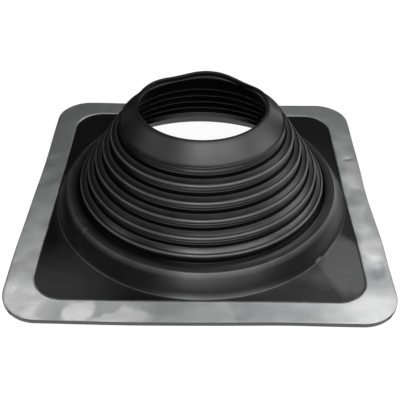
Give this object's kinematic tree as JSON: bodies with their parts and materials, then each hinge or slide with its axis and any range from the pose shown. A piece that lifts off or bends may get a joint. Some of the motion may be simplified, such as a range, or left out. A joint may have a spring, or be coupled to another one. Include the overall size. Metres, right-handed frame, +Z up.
{
  "type": "pipe flashing boot",
  "caption": "Stepped black rubber cone on a square base with a soft aluminium edging strip, for sealing a round pipe where it passes through a roof.",
  "frame": {"origin": "centre of the square base on its underside, where it lies on the roof", "axes": "+Z up along the pipe, out of the mouth; X and Y along the sides of the base"},
  "size_m": [0.44, 0.44, 0.1413],
  "materials": {
    "rubber": "satin moulded rubber",
    "aluminium": "soft matte sheet, slightly handled"
  },
  "bodies": {
    "root": {"rubber_boot": "rubber", "aluminium_frame": "aluminium"}
  },
  "joints": []
}
